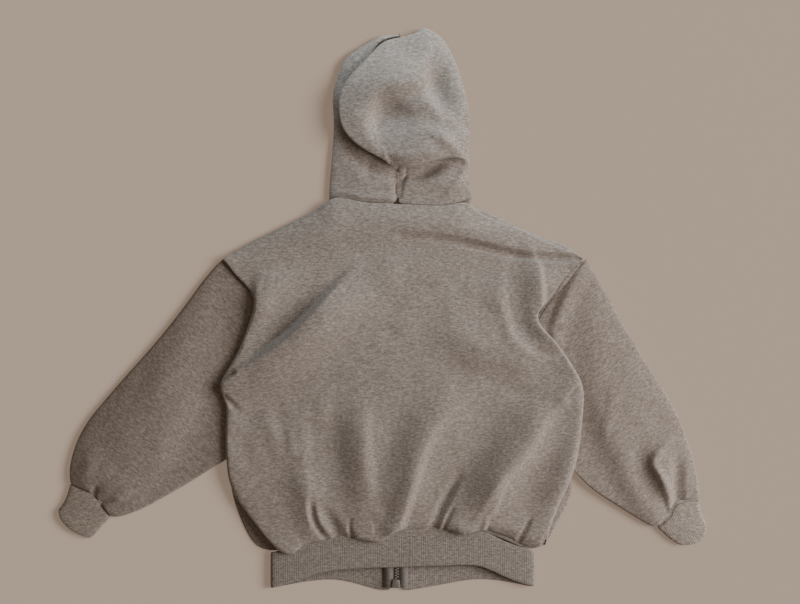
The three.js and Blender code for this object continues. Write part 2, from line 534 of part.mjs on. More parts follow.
// Hood: two panels joined by a seam up the middle. The crown has fallen to the left, so the right panel
// folds over the nape as a pouch, and the seam runs along the pouch's left lip. Each row of these tables is
// a section of the outer face from the middle seam over the side of the hood to the edge of the face opening.
const LEFT_ROWS = [
    { seam: [16.5, 114.5, 9.2], top: [-23.5, 115.5, 9.2], side: [-58.5, 119.5, 5],
        under: [-39, 94.5, 0], face: [9.5, 71, 0] },
    { seam: [17.5, 122, 9.6], top: [-22.5, 125, 9.6], side: [-58.5, 126.5, 5],
        under: [-39.5, 106.5, 0], face: [3, 87, 0] },
    { seam: [19, 134, 10], top: [-21.5, 137.5, 11], side: [-58, 139.5, 5],
        under: [-40, 121, 0], face: [-6, 105.5, 0] },
    { seam: [21, 150.5, 9.5], top: [-19, 158.5, 10.5], side: [-56, 159.5, 5],
        under: [-40, 152, 0], face: [-17, 135.5, 0] },
    { seam: [16, 165, 9.5], top: [-21.5, 177, 9.8], side: [-54.5, 179.5, 5],
        under: [-40, 174, 0], face: [-21.5, 163, 0] },
    { seam: [-6, 180.5, 9.5], top: [-30.5, 191.5, 10.5], side: [-53, 198, 5],
        under: [-40, 194.5, 0], face: [-22.5, 185, 0] },
    { seam: [-31.5, 191.5, 11], top: [-42.5, 204.5, 12], side: [-53, 215.5, 6],
        under: [-41, 213.5, 0], face: [-22.5, 207, 0] },
    { seam: [-43.5, 210, 12.2], top: [-48, 220, 12], side: [-54, 229, 6],
        under: [-41, 229, 0], face: [-22.5, 223.5, 0] },
    { seam: [-45.5, 231, 12.5], top: [-48.5, 236, 11.5], side: [-52.5, 242, 6],
        under: [-40, 240, 0], face: [-22.5, 234.5, 0] },
    { seam: [-40, 244, 11.6], top: [-43.5, 249, 11.5], side: [-48.5, 255, 6],
        under: [-37, 251, 0], face: [-21.5, 242, 0] },
    { seam: [-31, 254.5, 11], top: [-35, 261, 11], side: [-43, 270.5, 6],
        under: [-32.5, 263, 0], face: [-19, 251, 0] },
    { seam: [-20.5, 267.5, 11], top: [-26.5, 274.5, 10], side: [-34.5, 280.5, 5.5],
        under: [-27, 270.5, 0], face: [-16, 257.5, 0] },
    { seam: [-10, 279, 10], top: [-14, 284, 9], side: [-18, 289, 5],
        under: [-15, 277, 0], face: [-9.5, 263, 0] },
    { seam: [-1, 293.5, 8.6], top: [-2, 296, 8.2], side: [-3, 298.5, 5],
        under: [-3, 284, 0], face: [-1.5, 267.5, 0] },
    { seam: [9.5, 296.5, 7.8], top: [9, 297.5, 7.4], side: [8, 300, 5],
        under: [7, 286, 0], face: [7, 270.5, 0] },
    { seam: [21.5, 299, 6.8], top: [20.5, 299.5, 6.6], side: [19, 301, 4.8],
        under: [17, 287, 0], face: [16, 271.5, 0] },
];
const RIGHT_ROWS = [
    { seam: [18, 114.5, 9.2], top: [48, 112, 9.2], shoulder: [77.5, 113, 9.2], side: [101, 121.5, 5],
        under: [77.5, 93.5, 0], face: [22, 71, 0] },
    { seam: [19, 122, 9.6], top: [48, 121, 9.6], shoulder: [77.5, 121, 9.8], side: [100, 128.5, 5],
        under: [76.5, 105.5, 0], face: [30.5, 87, 0] },
    { seam: [20, 134, 10], top: [48, 136, 11], shoulder: [77.5, 133, 12], side: [99, 133, 5],
        under: [75.5, 119, 0], face: [40, 105.5, 0] },
    { seam: [22.5, 150.5, 9.5], top: [48, 152, 9.7], shoulder: [78.5, 149.5, 11], side: [96.5, 144, 5],
        under: [77.5, 141, 0], face: [55.5, 135.5, 0] },
    { seam: [22.5, 179.5, 9.5], top: [49, 176, 9.7], shoulder: [81, 163, 12], side: [97, 153, 5.5],
        under: [78.5, 152, 0], face: [60, 152, 0] },
    { seam: [22, 183, 11.6], top: [48.5, 179.5, 11.9], shoulder: [81.5, 166.5, 14], side: [97.5, 157.5, 6],
        under: [78.5, 159.5, 0], face: [62, 160.5, 0] },
    { seam: [21, 179.5, 14], top: [47, 175.5, 14.2], shoulder: [80, 165.5, 16], side: [97.5, 161.5, 6.5],
        under: [78.5, 165, 0], face: [63.5, 167, 0] },
    { seam: [12.5, 158, 14], top: [34.5, 156, 14.5], shoulder: [72, 164.5, 17], side: [97.5, 165.5, 7],
        under: [78.5, 170.5, 0], face: [64.5, 174, 0] },
    { seam: [10.5, 155, 16.5], top: [31.5, 153.5, 18], shoulder: [70, 167, 19], side: [97.5, 170, 7],
        under: [78.5, 175, 0], face: [64.5, 179.5, 0] },
    { seam: [3, 161, 18], top: [28, 159, 21.5], shoulder: [71, 172.5, 21], side: [97.5, 175, 7],
        under: [78.5, 179.5, 0], face: [64.5, 185, 0] },
    { seam: [-23.5, 175, 20], top: [18, 179.5, 24], shoulder: [72, 185, 20], side: [98, 185, 7],
        under: [78.5, 187, 0], face: [64.5, 192.5, 0] },
    { seam: [-43.5, 196, 19.5], top: [9.5, 204.5, 21.5], shoulder: [71, 201.5, 15], side: [99, 198, 7],
        under: [78.5, 200, 0], face: [64.5, 203.5, 0] },
    { seam: [-47.5, 221, 20], top: [7, 231, 24], shoulder: [66.5, 220, 14.5], side: [97, 220, 7],
        under: [77.5, 220, 0], face: [63.5, 221, 0] },
    { seam: [-43.5, 240.5, 20], top: [7, 254, 23], shoulder: [61, 242, 15], side: [92, 242, 7],
        under: [73, 237.5, 0], face: [60, 234.5, 0] },
    { seam: [-27, 262, 19], top: [15, 271.5, 18.5], shoulder: [56.5, 267.5, 15], side: [84.5, 265, 6.5],
        under: [66.5, 255, 0], face: [53.5, 246.5, 0] },
    { seam: [-12.5, 277, 16], top: [22.5, 284, 14.5], shoulder: [53.5, 285, 13], side: [75.5, 285, 6],
        under: [58, 270.5, 0], face: [44.5, 256.5, 0] },
    { seam: [2, 292, 12], top: [26, 295, 11.5], shoulder: [49, 297, 11], side: [65.5, 298.5, 5.5],
        under: [49, 280.5, 0], face: [36, 264, 0] },
    { seam: [25.5, 296.5, 9], top: [32.5, 300, 9], shoulder: [41, 304, 8], side: [47, 308.5, 5],
        under: [37, 289.5, 0], face: [27, 271.5, 0] },
];
const HOOD_FOLDS = [
    { height: 4, left: 12, right: 16, path: [[33.5, 237.5], [51, 225.5], [64.5, 216.5], [75.5, 207],
        [88.5, 191.5]] },
    { height: -3, left: 9, right: 10, path: [[64.5, 275], [67.5, 245.5], [75.5, 220], [84, 204.5]] },
    { height: 3, left: 9, right: 9, path: [[60, 299], [73, 273], [81, 245.5], [86.5, 218], [92, 191.5]] },
    { height: 2, left: 8, right: 10, path: [[64.5, 188], [73, 182.5], [82, 174], [91, 166]] },
    { height: -2.5, left: 20, right: 22, path: [[-10.5, 207], [15, 215.5], [48, 204.5], [64.5, 196]] },
];

// A smooth face through the rows of a table, with a fixed number of stations between neighbours
function loft(rows, between, along, shape) {
    const lines = rows.map((row) => new THREE.CatmullRomCurve3(
        Object.values(row).map((p) => new THREE.Vector3(...p)), false, 'centripetal'));
    const columns = Object.keys(rows[0]).length - 1;
    return steps(columns * between).map((u) => {
        const column = new THREE.CatmullRomCurve3(lines.map((line) => line.getPoint(u)), false, 'centripetal');
        return steps((rows.length - 1) * along).map((v) => {
            const place = column.getPoint(v);
            place.z += shape(place, u * columns, v * (rows.length - 1));
            place.z = Math.max(place.z, 0);
            return place;
        });
    });
}

const POUCH_ROW = 9; // the row of the right panel where the pouch turns to face up
const hoodFolds = relief(HOOD_FOLDS);
add('hood_left', wall(loft(LEFT_ROWS, 3, 1, () => 0).reverse()), FLEECE);
add('hood_right', wall(loft(RIGHT_ROWS, 3, 2, (place, column, row) => {
    const onTop = smoothstep(row, POUCH_ROW, POUCH_ROW + 1) * (1 - smoothstep(column, 2.3, 3));
    return onTop * hoodFolds(place.x, place.y);
})), FLEECE);

// Zip: two woven tapes, one moulded chain between them, and a slider at each end of it, so it opens both ways
const CHAIN_WIDTH = 5.5;
const TAPE_THICK = 0.8;
const TAPE_WIDTH = 10;
const ZIP_Z = 4.9; // middle of the tapes and the chain
const CHAIN_THICK = 2.6;
const SLIDER_LENGTH = 9.5;

function box(name, low, high, colour, finish) {
    const size = high.map((value, axis) => value - low[axis]);
    const mesh = add(name, new THREE.BoxGeometry(...size), colour, finish);
    mesh.position.set(...high.map((value, axis) => (value + low[axis]) / 2));
}

for (const [name, side] of [['zip_tape_left', -1], ['zip_tape_right', 1]]) {
    const edges = [ZIP_X + side * (CHAIN_WIDTH / 2 + SEAM), ZIP_X + side * (CHAIN_WIDTH / 2 + SEAM + TAPE_WIDTH)];
    box(name, [Math.min(...edges), ZIP_LOW, ZIP_Z - TAPE_THICK / 2],
        [Math.max(...edges), ZIP_HIGH, ZIP_Z + TAPE_THICK / 2], TAPE);
}
box('zip_chain', [ZIP_X - CHAIN_WIDTH / 2, ZIP_LOW + SLIDER_LENGTH + SEAM, ZIP_Z - CHAIN_THICK / 2],
    [ZIP_X + CHAIN_WIDTH / 2, ZIP_HIGH - SLIDER_LENGTH - SEAM, ZIP_Z + CHAIN_THICK / 2], METAL, { metalness: 0.2 });

// Solids for joining and cutting
function solid(geometry) {
    const bare = geometry.clone();
    bare.deleteAttribute('normal');
    bare.deleteAttribute('uv');
    const merged = mergeVertices(bare, 1e-4);
    return new wasm.Manifold(new wasm.Mesh({
        numProp: 3,
        vertProperties: new Float32Array(merged.attributes.position.array),
        triVerts: new Uint32Array(merged.index.array),
    }));
}

function geometryOf(manifold) {
    const mesh = manifold.getMesh();
    const geometry = new THREE.BufferGeometry();
    geometry.setAttribute('position', new THREE.BufferAttribute(mesh.vertProperties, 3));
    geometry.setIndex(new THREE.BufferAttribute(mesh.triVerts, 1));
    geometry.computeVertexNormals();
    return geometry;
}

// A slider: an upper and a lower plate either side of the tapes, joined by a post, wider at the end where the
// two sides part, with a bridge under it for the tab
const PLATE_THICK = 1.1;
const PLATE_GAP = 1.9; // between the two plates, where the tapes run
const POST_WIDTH = 3;
const NARROW = 7;
const WIDE = 9.2;
const BRIDGE = { length: 5, width: 1.8, wire: 0.8, window: 1.7 };

function block(x, y, z, atX = 0, atY = 0, atZ = 0) {
    return new THREE.BoxGeometry(x, y, z).translate(atX, atY, atZ);
}

function plate(z) {
    const outline = new THREE.Shape();
    const half = SLIDER_LENGTH / 2;
    const corner = 1.2;
    outline.moveTo(-NARROW / 2 + corner, half);
    outline.lineTo(NARROW / 2 - corner, half);
    outline.quadraticCurveTo(NARROW / 2, half, NARROW / 2, half - corner);
    outline.lineTo(WIDE / 2, -half + corner);
    outline.quadraticCurveTo(WIDE / 2, -half, WIDE / 2 - corner, -half);
    outline.lineTo(-WIDE / 2 + corner, -half);
    outline.quadraticCurveTo(-WIDE / 2, -half, -WIDE / 2, -half + corner);
    outline.lineTo(-NARROW / 2, half - corner);
    outline.quadraticCurveTo(-NARROW / 2, half, -NARROW / 2 + corner, half);
    const body = new THREE.ExtrudeGeometry(outline, { depth: PLATE_THICK, bevelEnabled: false, curveSegments: 3 });
    return body.translate(0, 0, z);
}

const lowerPlate = -PLATE_GAP / 2 - PLATE_THICK;
const bridgeFoot = BRIDGE.wire + BRIDGE.window;
const PIN_Z = lowerPlate - BRIDGE.window / 2; // the tab turns about this line, under the slider
function slider(name, y, turned) {
    const leg = block(BRIDGE.width, BRIDGE.wire, bridgeFoot + 0.2,
        0, (BRIDGE.length - BRIDGE.wire) / 2, lowerPlate - bridgeFoot / 2 + 0.1);
    const otherLeg = leg.clone().translate(0, BRIDGE.wire - BRIDGE.length, 0);
    const bar = block(BRIDGE.width, BRIDGE.length, BRIDGE.wire, 0, 0, lowerPlate - bridgeFoot + BRIDGE.wire / 2);
    const post = block(POST_WIDTH, SLIDER_LENGTH - 3, PLATE_GAP + 0.4);
    const joinedUp = [plate(PLATE_GAP / 2), post, leg, otherLeg, bar]
        .reduce((sum, piece) => sum.add(solid(piece)), solid(plate(lowerPlate)));
    const mesh = add(name, geometryOf(joinedUp), METAL, { metalness: 0.8, roughness: 0.45 });
    mesh.position.set(ZIP_X, y, ZIP_Z);
    mesh.rotation.z = turned ? Math.PI : 0;
}

// The tab: a flat drop with an eye round the bridge, lying along the chain
const TAB = { length: 22, width: 5.6, thick: 1, eye: 3.2, pin: 0.5 };
function tab(name, y, turned) {
    const outline = new THREE.Shape();
    const [half, end] = [TAB.width / 2, TAB.length - TAB.width / 2];
    outline.moveTo(-half, -TAB.pin);
    outline.lineTo(half, -TAB.pin);
    outline.lineTo(half, end);
    outline.absarc(0, end, half, 0, Math.PI);
    outline.lineTo(-half, -TAB.pin);
    const eye = new THREE.Path();
    const eyeHalf = BRIDGE.width / 2 + 0.5;
    eye.moveTo(-eyeHalf, TAB.pin);
    eye.lineTo(eyeHalf, TAB.pin);
    eye.lineTo(eyeHalf, TAB.eye);
    eye.lineTo(-eyeHalf, TAB.eye);
    eye.lineTo(-eyeHalf, TAB.pin);
    outline.holes.push(eye);
    const body = new THREE.ExtrudeGeometry(outline, { depth: TAB.thick, bevelEnabled: false, curveSegments: 8 });
    body.translate(0, 0, -TAB.thick / 2);
    const mesh = add(name, body, METAL, { metalness: 0.8, roughness: 0.45 });
    mesh.position.set(ZIP_X, y, ZIP_Z + PIN_Z);
    mesh.rotation.z = turned ? Math.PI : 0;
}

const lowSlider = ZIP_LOW + SLIDER_LENGTH / 2;
const highSlider = ZIP_HIGH - SLIDER_LENGTH / 2;
slider('zip_slider_low', lowSlider, false);
tab('zip_tab_low', lowSlider, false);
slider('zip_slider_high', highSlider, true);
tab('zip_tab_high', highSlider, true);

export default group;
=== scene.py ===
import json
import math

import bmesh
import bpy
import numpy as np
from mathutils import Matrix, Vector, noise

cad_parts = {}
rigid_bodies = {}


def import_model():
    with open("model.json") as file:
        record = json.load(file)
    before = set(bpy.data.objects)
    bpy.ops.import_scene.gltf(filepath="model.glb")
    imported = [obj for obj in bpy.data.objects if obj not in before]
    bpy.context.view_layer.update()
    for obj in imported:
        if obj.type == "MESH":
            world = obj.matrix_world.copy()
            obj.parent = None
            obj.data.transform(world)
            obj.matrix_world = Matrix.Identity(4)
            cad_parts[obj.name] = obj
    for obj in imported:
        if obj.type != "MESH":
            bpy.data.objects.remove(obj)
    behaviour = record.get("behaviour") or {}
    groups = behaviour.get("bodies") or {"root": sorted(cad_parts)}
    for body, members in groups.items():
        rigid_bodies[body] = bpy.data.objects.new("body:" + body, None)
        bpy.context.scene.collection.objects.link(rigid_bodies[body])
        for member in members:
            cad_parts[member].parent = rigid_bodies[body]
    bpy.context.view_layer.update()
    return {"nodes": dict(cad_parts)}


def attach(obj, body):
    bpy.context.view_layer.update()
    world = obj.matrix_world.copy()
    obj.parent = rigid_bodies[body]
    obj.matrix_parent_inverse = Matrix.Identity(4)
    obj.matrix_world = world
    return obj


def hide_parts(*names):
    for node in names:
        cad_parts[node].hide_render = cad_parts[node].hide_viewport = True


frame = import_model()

# The camera looks straight down, as the photograph does, from about two metres up
# through a moderate long lens, so the hoodie lies in the same place in the frame.
VIEW_WIDTH = 0.880
VIEW_CENTRE = (0.0204, 0.0066)
LENS = 85.0
SENSOR = 36.0
camera_data = bpy.data.cameras.new("camera")
camera_data.lens = LENS
camera_data.sensor_width = SENSOR
camera = bpy.data.objects.new("camera", camera_data)
camera.location = (*VIEW_CENTRE, VIEW_WIDTH * LENS / SENSOR)
bpy.context.scene.collection.objects.link(camera)
bpy.context.scene.camera = camera


# Floor and light: a plain warm beige floor with an even light of its own, one large soft light from the
# right for the garment, a small cooler one just above the hood, and a weak warm surround.
FLOOR_HALF = 6.0
FLOOR_DEPTH = 0.0006  # the floor lies this far under the cloth, so that no face shares its plane


def linear(hex_colour):
    parts = [int(hex_colour[i:i + 2], 16) / 255 for i in (1, 3, 5)]
    return [c / 12.92 if c <= 0.04045 else ((c + 0.055) / 1.055) ** 2.4 for c in parts] + [1.0]


def add_node(tree, kind, settings=None, links=None):
    node = tree.nodes.new(kind)
    for key, value in (settings or {}).items():
        if isinstance(key, int) or key in node.inputs:
            node.inputs[key].default_value = value
        else:
            setattr(node, key, value)
    for key, source in (links or {}).items():
        tree.links.new(source, node.inputs[key])
    return node


def new_material(name):
    material = bpy.data.materials.new(name)
    material.use_nodes = True
    tree = material.node_tree
    tree.nodes.clear()
    return material, tree


def finish_material(tree, shader):
    output = add_node(tree, "ShaderNodeOutputMaterial")
    tree.links.new(shader.outputs[0], output.inputs["Surface"])


# Matt paint: no highlight. A little of its brightness is its own, which keeps it even.
floor_material, tree = new_material("painted_floor")
finish_material(tree, add_node(tree, "ShaderNodeBsdfPrincipled",
                               {"Base Color": linear("#87786a"), "Roughness": 0.9,
                                "Emission Color": linear("#87776a"), "Emission Strength": 0.92}))
bm = bmesh.new()
bmesh.ops.create_grid(bm, x_segments=1, y_segments=1, size=FLOOR_HALF)
bmesh.ops.translate(bm, verts=bm.verts, vec=(0, 0, -FLOOR_DEPTH))
floor_mesh = bpy.data.meshes.new("floor")
bm.to_mesh(floor_mesh)
bm.free()
floor_mesh.materials.append(floor_material)
floor = bpy.data.objects.new("floor", floor_mesh)
bpy.context.scene.collection.objects.link(floor)


def aim(light, target):
    way = Vector(target) - light.location
    light.rotation_euler = way.to_track_quat("-Z", "Y").to_euler()
    bpy.context.scene.collection.objects.link(light)


def light_only(light, state, things):
    """Keep a light off some things (EXCLUDE), or on them alone (INCLUDE)."""
    receivers = bpy.data.collections.new(light.name + "_receivers")
    light.light_linking.receiver_collection = receivers
    for thing in things:
        receivers.objects.link(thing)
    for receiver in receivers.collection_objects:
        receiver.light_linking.link_state = state


for name, place, watts, size, colour, target in (
        ("window", (1.64, 0.10, 0.84), 56.0, 1.4, (0.96, 0.98, 1.0), (0.0, -0.02, 0.0)),
        ("window_above", (0.03, 0.57, 0.19), 2.0, 0.24, (0.64, 0.85, 1.0), (0.03, 0.24, 0.02))):
    light_data = bpy.data.lights.new(name, "AREA")
    light_data.energy = watts
    light_data.size = size
    light_data.color = colour
    light = bpy.data.objects.new(name, light_data)
    light.location = place
    aim(light, target)
light_only(bpy.data.objects["window"], "EXCLUDE", [floor])
sun_data = bpy.data.lights.new("floor_light", "SUN")
sun_data.energy = 4.6
sun_data.angle = math.radians(28)
sun = bpy.data.objects.new("floor_light", sun_data)
sun.location = (1.33, 0.2, 0.95)
aim(sun, (0.0, 0.0, 0.0))
light_only(sun, "INCLUDE", [floor])
world = bpy.data.worlds.new("surround")
world.use_nodes = True
world.node_tree.nodes["Background"].inputs["Color"].default_value = (1.0, 0.84, 0.68, 1.0)
world.node_tree.nodes["Background"].inputs["Strength"].default_value = 0.2
bpy.context.scene.world = world


# Back panel: one piece of heavy sweatshirt fleece, knitted from mixed grey and brown yarn and brushed,
# so it is matt with a short nap. It lies over the fronts in long soft folds and blouses over the hem band.
FIBRE = 0.0007  # width of a fleck of heathered yarn, drawn coarse enough to show
COURSE = 0.0011  # height of the knitted rows that show faintly through the nap
MOTTLE = 0.0556  # size of the soft patches where the mix of yarns is a little darker or lighter
FLECK_SHARE = 0.45  # how much of the pattern is flecks; the rest is streaks along the rows
NAP_HEIGHT = 0.0006
RIB_HEIGHT = 0.0005
WAVE_BANDS = 20 / math.tau  # bands in a metre of a wave texture at scale 1
WELD = 0.00002  # corners of packed facets closer than this are one corner


def fleece_material(name, dark, middle, light, nap=1.0, ribs=None, lie=0.0):
    material, tree = new_material(name)
    place = add_node(tree, "ShaderNodeTexCoord").outputs["Object"]
    fleck = add_node(tree, "ShaderNodeTexNoise", {"Scale": 0.5 / FIBRE, "Detail": 2.0, "Roughness": 0.8},
                     {"Vector": place})
    turned = add_node(tree, "ShaderNodeMapping", {"Rotation": (0, 0, math.radians(lie))}, {"Vector": place})
    stretch = add_node(tree, "ShaderNodeMapping", {"Scale": (0.38, 1.0, 1.0)}, {"Vector": turned.outputs[0]})
    streak = add_node(tree, "ShaderNodeTexNoise", {"Scale": 0.6 / COURSE, "Detail": 2.0, "Roughness": 0.6},
                      {"Vector": stretch.outputs[0]})
    rows = add_node(tree, "ShaderNodeMath", {"operation": "MULTIPLY", 1: 1 - FLECK_SHARE},
                    {0: streak.outputs[0]})
    mixed = add_node(tree, "ShaderNodeMath", {"operation": "MULTIPLY_ADD", 1: FLECK_SHARE},
                     {0: fleck.outputs[0], 2: rows.outputs[0]})
    ramp = add_node(tree, "ShaderNodeValToRGB", None, {"Fac": mixed.outputs[0]})
    ramp.color_ramp.elements[0].position = 0.32
    ramp.color_ramp.elements[0].color = linear(dark)
    ramp.color_ramp.elements[1].position = 0.68
    ramp.color_ramp.elements[1].color = linear(light)
    ramp.color_ramp.elements.new(0.5).color = linear(middle)
    cloud = add_node(tree, "ShaderNodeTexNoise", {"Scale": 1 / MOTTLE, "Detail": 3.0}, {"Vector": place})
    tone = add_node(tree, "ShaderNodeMapRange", {"To Min": 0.94, "To Max": 1.06}, {"Value": cloud.outputs[0]})
    colour = add_node(tree, "ShaderNodeVectorMath", {"operation": "SCALE"},
                      {0: ramp.outputs[0], "Scale": tone.outputs[0]})
    bump = add_node(tree, "ShaderNodeBump", {"Strength": 0.5 * nap, "Distance": NAP_HEIGHT},
                    {"Height": mixed.outputs[0]})
    if ribs:
        angle, spacing = ribs
        across = add_node(tree, "ShaderNodeMapping", {"Rotation": (0, 0, math.radians(angle))},
                          {"Vector": place})
        wave = add_node(tree, "ShaderNodeTexWave", {"Scale": 1 / (WAVE_BANDS * spacing), "Distortion": 0.4},
                        {"Vector": across.outputs[0]})
        bump = add_node(tree, "ShaderNodeBump", {"Strength": 0.25, "Distance": RIB_HEIGHT},
                        {"Height": wave.outputs[1], "Normal": bump.outputs[0]})
        # Painted shade and light: the grooves between the ribs are coloured a little darker and the crests a
        # little lighter.
        rib_shade = add_node(tree, "ShaderNodeMapRange", {"To Min": 0.97, "To Max": 1.02},
                          {"Value": wave.outputs[1]})
        colour = add_node(tree, "ShaderNodeVectorMath", {"operation": "SCALE"},
                          {0: colour.outputs[0], "Scale": rib_shade.outputs[0]})
    shader = add_node(tree, "ShaderNodeBsdfPrincipled",
                      {"Roughness": 0.95, "Specular IOR Level": 0.2, "Sheen Weight": 0.25,
                       "Sheen Roughness": 0.6},
                      {"Base Color": colour.outputs[0], "Normal": bump.outputs[0]})
    finish_material(tree, shader)
    return material


# Brushed fleece: dull, with a faint pale rim where its nap catches the light, and flecks of three yarns.
FLEECE_YARNS = ("#6a5d54", "#8a7c71", "#ac9f94")
fleece = fleece_material("heathered_brushed_fleece", *FLEECE_YARNS)


def cut_piece(node, name, material, levels=2, finer=False):
    """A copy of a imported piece, its facets joined to quads and smoothed, as a new object. The upper face
    can be divided once more, for sharper folds."""
    bm = bmesh.new()
    bm.from_mesh(frame["nodes"][node].data)
    bmesh.ops.remove_doubles(bm, verts=bm.verts, dist=WELD)
    bmesh.ops.join_triangles(bm, faces=bm.faces, angle_face_threshold=math.radians(50),
                             angle_shape_threshold=math.radians(70))
    mesh = bpy.data.meshes.new(name + "_cut")
    bm.to_mesh(mesh)
    bm.free()
    rough = bpy.data.objects.new(name + "_cut", mesh)
    bpy.context.scene.collection.objects.link(rough)
    smooth = rough.modifiers.new("smooth", "SUBSURF")
    smooth.levels = levels
    smooth.render_levels = levels
    shape = bpy.data.meshes.new_from_object(rough.evaluated_get(bpy.context.evaluated_depsgraph_get()))
    bpy.data.objects.remove(rough)
    if finer:
        bm = bmesh.new()
        bm.from_mesh(shape)
        upper = [edge for edge in bm.edges if all(face.normal.z > 0.2 for face in edge.link_faces)]
        bmesh.ops.subdivide_edges(bm, edges=upper, cuts=1, use_grid_fill=True)
        bm.to_mesh(shape)
        bm.free()
    shape.name = name
    shape.materials.clear()
    shape.materials.append(material)
    shape.polygons.foreach_set("use_smooth", [True] * len(shape.polygons))
    piece = bpy.data.objects.new(name, shape)
    bpy.context.scene.collection.objects.link(piece)
    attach(piece, "garment")
    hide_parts(node)
    return piece


def drawn_line(points, step=0.004):
    """A smooth line through points given in millimetres, as metre points a few millimetres apart."""
    knots = [Vector(p) / 1000 for p in points]
    knots = [knots[0] * 2 - knots[1], *knots, knots[-1] * 2 - knots[-2]]
    line = []
    for a, b, c, d in zip(knots, knots[1:], knots[2:], knots[3:]):
        count = max(int((c - b).length / step), 1)
        for k in range(count):
            t = k / count
            line.append(0.5 * (2 * b + (c - a) * t + (2 * a - 5 * b + 4 * c - d) * t ** 2
                               + (3 * b - a - 3 * c + d) * t ** 3))
    return [*line, knots[-2]]


def smooth_step(t):
    t = np.clip(t, 0, 1)
    return t * t * (3 - 2 * t)


def shaped(piece, folds, low=0.003, high=0.007, crumple=0.0006, size=0.045, seed=0.0):
    """Folds given in a list (heights at start, middle and end, width to the left and right of the way the
    line runs, and the line, in millimetres) and a little uneven softness. Only the upper layer feels them:
    what lies below low stays, and what lies above high moves the whole way."""
    mesh = piece.data
    coordinates = np.empty(len(mesh.vertices) * 3)
    mesh.vertices.foreach_get("co", coordinates)
    place = coordinates.reshape(-1, 3)
    flat = place[:, :2]
    lift = np.array([crumple * noise.fractal(Vector((x / size, y / size, seed)), 0.8, 2.0, 3)
                     for x, y in flat])
    for heights, left, right, points in folds:
        line = [np.array(p) for p in drawn_line(points)]
        nearest = np.full(len(flat), np.inf)
        side = np.zeros(len(flat))
        along = np.zeros(len(flat))
        for k, (a, b) in enumerate(zip(line, line[1:])):
            way = b - a
            t = np.clip((flat - a) @ way / (way @ way), 0, 1)
            off = flat - a - t[:, None] * way
            far = np.hypot(off[:, 0], off[:, 1])
            nearer = far < nearest
            nearest[nearer] = far[nearer]
            side[nearer] = (way[0] * off[:, 1] - way[1] * off[:, 0])[nearer]
            along[nearer] = (k + t[nearer]) / (len(line) - 1)
        first, middle, last = heights
        height = np.where(along < 0.5, first + (middle - first) * smooth_step(along * 2),
                          middle + (last - middle) * smooth_step(along * 2 - 1))
        width = np.where(side > 0, left, right) / 1000
        lift += height / 1000 * smooth_step(1 - nearest / width)
    raised = place[:, 2] + lift * smooth_step((place[:, 2] - low) / (high - low))
    place[:, 2] = np.maximum(raised, np.minimum(place[:, 2], low))
    mesh.vertices.foreach_set("co", place.ravel())
    mesh.update()


